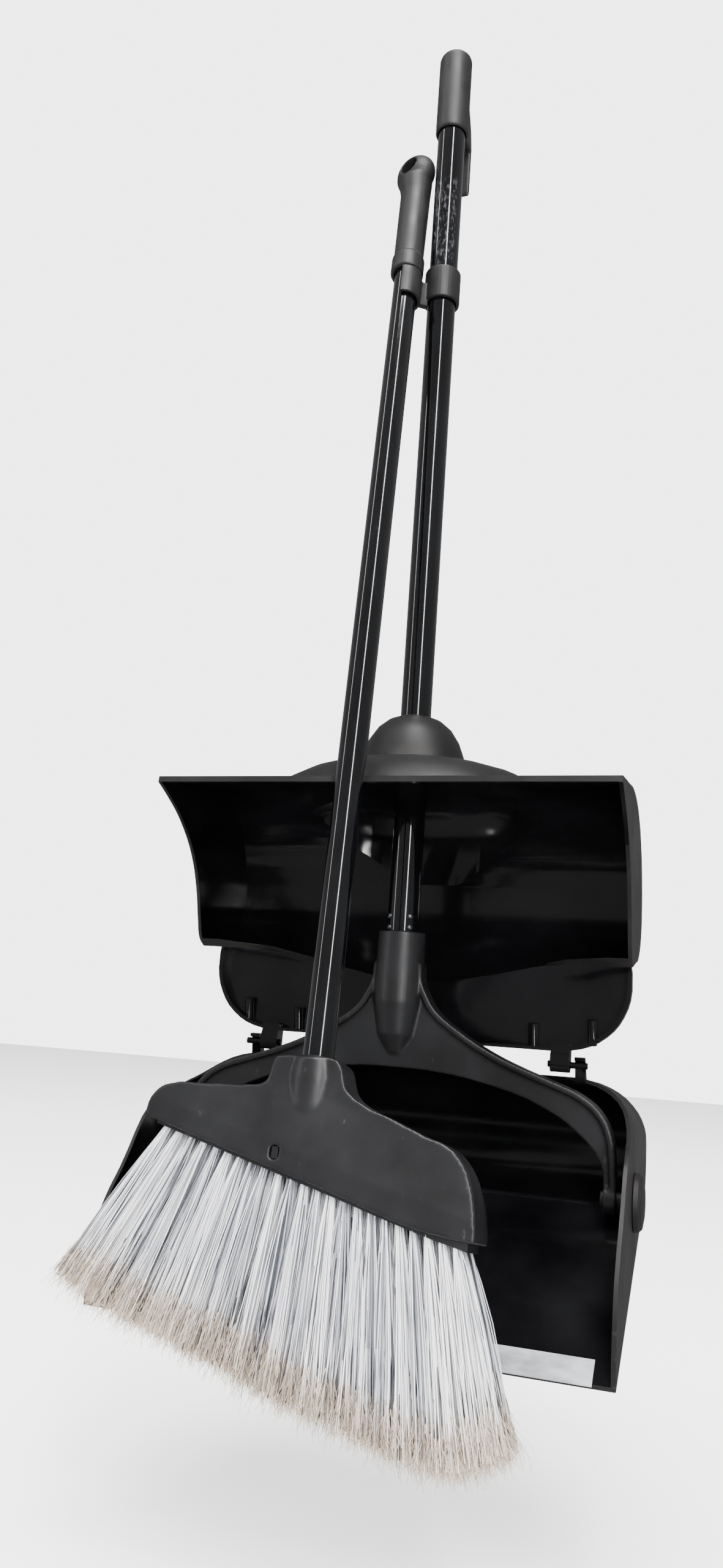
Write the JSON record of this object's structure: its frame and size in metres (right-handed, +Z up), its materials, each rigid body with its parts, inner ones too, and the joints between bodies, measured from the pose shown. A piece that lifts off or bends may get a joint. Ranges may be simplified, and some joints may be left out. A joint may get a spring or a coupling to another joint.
{
  "type": "dustpan and broom set",
  "caption": "Lobby dustpan with a hinged hood on a long pole with a hanging hook, and a long-handled angled broom held in a clip on the pole.",
  "frame": {"origin": "the seat of the hanging hook on the back of the dustpan's grip, where its bridge rests on a rail or a hook", "axes": "+Z up along the dustpan's pole, -Y to the front, where the pan opens and the broom hangs, +X to the right as seen from the front"},
  "size_m": [0.333, 0.2804, 1.0042],
  "materials": {
    "matt_plastic": "matt moulded, dark grey",
    "pan_plastic": "black, glossy inside",
    "grip_plastic": "matt grey-black",
    "coated_steel": "gloss black coating",
    "rivet_steel": "bright",
    "lip_rubber": "light grey, satin",
    "filament": "silver-grey filament, beige flagged tips"
  },
  "bodies": {
    "handle": {"dustpan_pole": "coated_steel", "dustpan_grip": "grip_plastic", "pole_clip": "grip_plastic", "yoke": "matt_plastic", "pole_rivet_1": "rivet_steel", "pole_rivet_2": "rivet_steel", "pole_rivet_3": "rivet_steel", "pole_rivet_4": "rivet_steel"},
    "pan": {"pan_shell": "pan_plastic", "lip_strip": "lip_rubber", "pivot_pin_left": "pan_plastic", "pivot_pin_right": "pan_plastic"},
    "hood": {"hood_shell": "pan_plastic", "hinge_pin_left": "pan_plastic", "hinge_pin_right": "pan_plastic"},
    "broom": {"broom_tube": "coated_steel", "broom_grip": "grip_plastic", "threaded_plug": "grip_plastic", "broom_head": "matt_plastic", "tuft_block": "matt_plastic", "tuft_row_1": "filament", "tuft_row_2": "filament", "tuft_row_3": "filament", "tuft_row_4": "filament", "tuft_row_5": "filament"}
  },
  "joints": [
    {"name": "pan_pivot", "type": "hinge", "parent": "handle", "child": "pan", "pos_m": [0, -0.016, -0.806], "axis": [1, 0, 0], "range_deg": [-93.5, 0]},
    {"name": "hood_travel", "type": "hinge", "parent": "handle", "child": "hood", "pos_m": [0, 0.7265, -0.5614], "axis": [1, 0, 0], "range_deg": [0, 10.1]},
    {"name": "broom_swing", "type": "hinge", "parent": "handle", "child": "broom", "pos_m": [-0.0245, -0.034, -0.142], "axis": [1, 0, 0], "range_deg": [-2.1, 0]}
  ],
  "couplings": [
    {"joint": "hood_travel", "follows": "pan_pivot", "ratio": -0.10715},
    {"joint": "broom_swing", "follows": "pan_pivot", "ratio": 0.0214}
  ]
}
